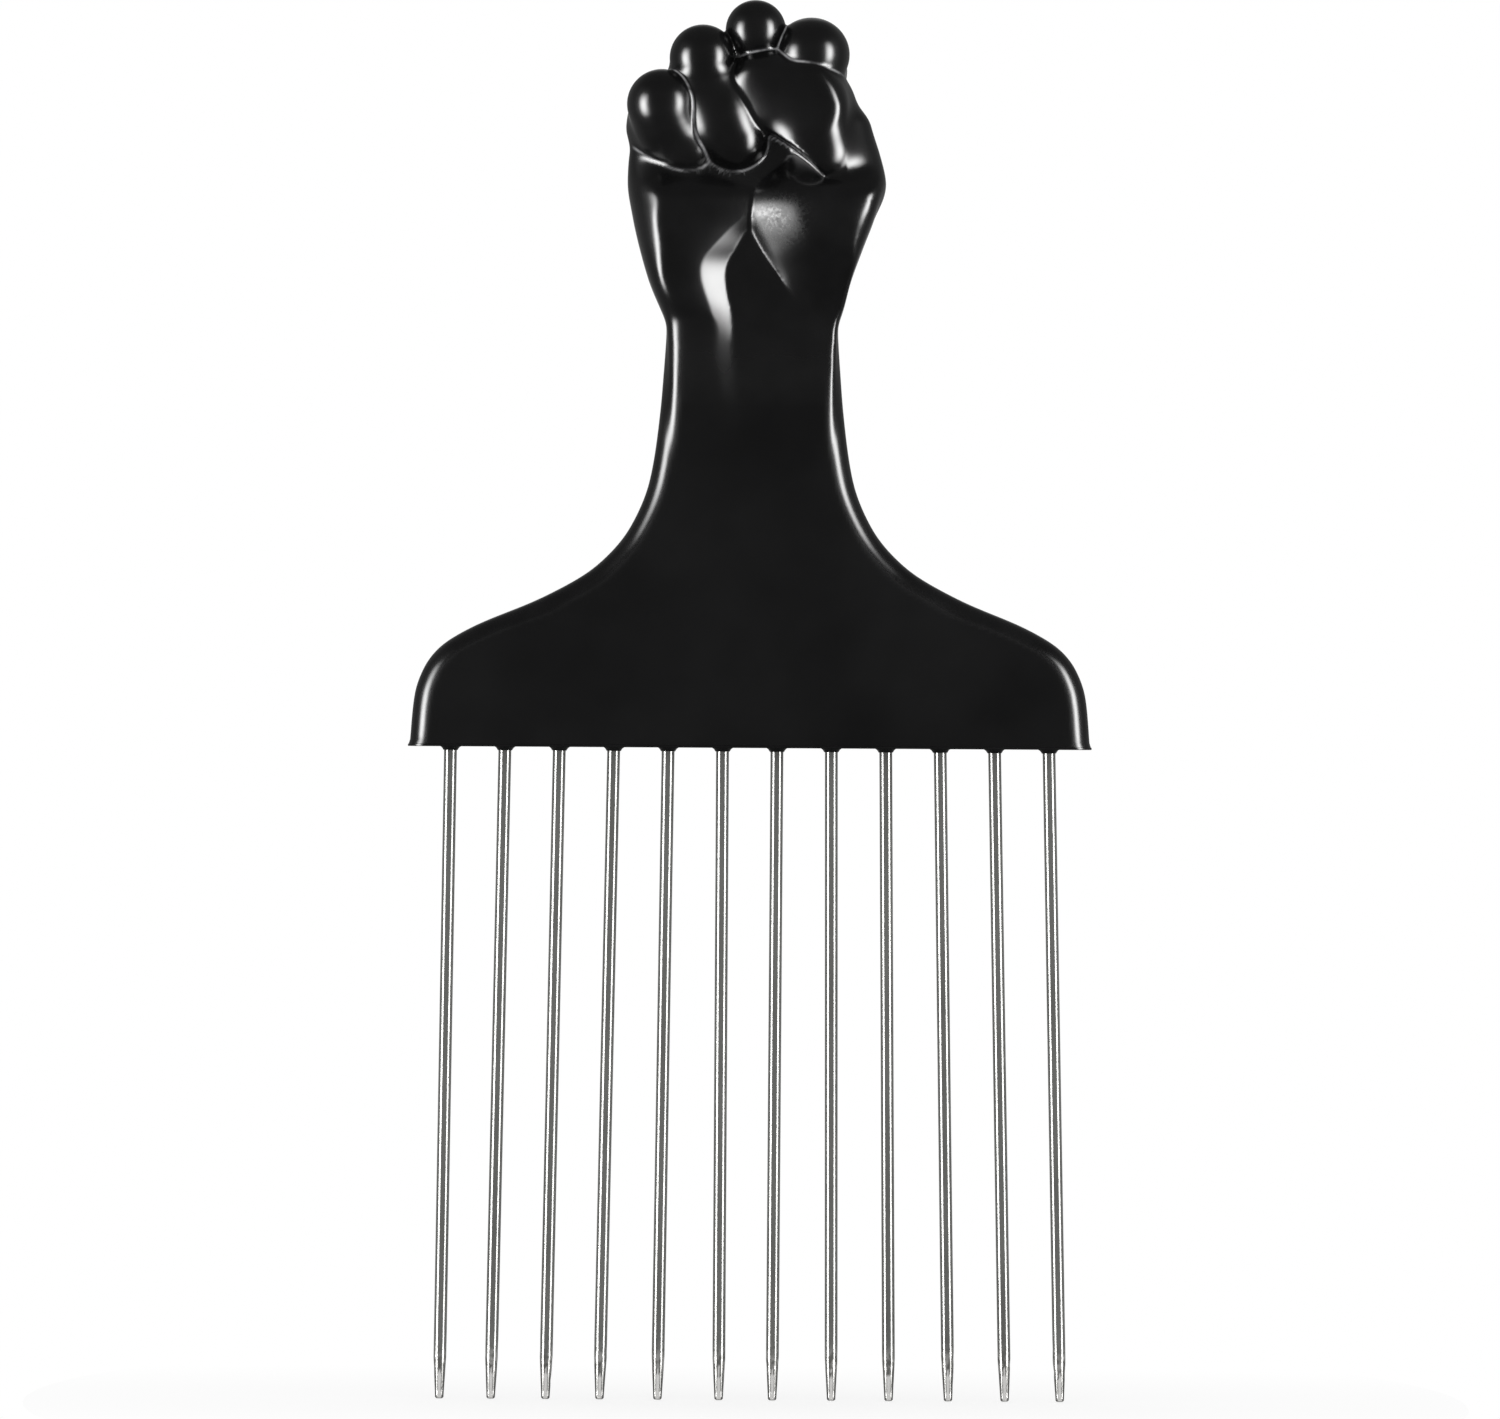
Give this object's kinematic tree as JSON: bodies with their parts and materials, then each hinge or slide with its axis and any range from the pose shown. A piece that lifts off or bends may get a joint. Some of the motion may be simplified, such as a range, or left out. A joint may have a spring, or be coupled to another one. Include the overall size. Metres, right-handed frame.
{
  "type": "afro pick",
  "caption": "Hair pick with a row of straight round steel wire tines set in a moulded plastic head, and a grip that ends in a raised fist.",
  "frame": {"origin": "on the level of the tine tips, under the middle of the head", "axes": "+Z along the pick from the tine tips to the fist, +X across the row of tines, -Y out of the palm side of the fist"},
  "size_m": [0.0854, 0.0188, 0.1746],
  "materials": {
    "black_plastic": "glossy black injection moulding",
    "tine_steel": "bright drawn wire, plated, with ground tips"
  },
  "bodies": {
    "root": {"handle": "black_plastic", "tine_01": "tine_steel", "tine_02": "tine_steel", "tine_03": "tine_steel", "tine_04": "tine_steel", "tine_05": "tine_steel", "tine_06": "tine_steel", "tine_07": "tine_steel", "tine_08": "tine_steel", "tine_09": "tine_steel", "tine_10": "tine_steel", "tine_11": "tine_steel", "tine_12": "tine_steel"}
  },
  "joints": []
}
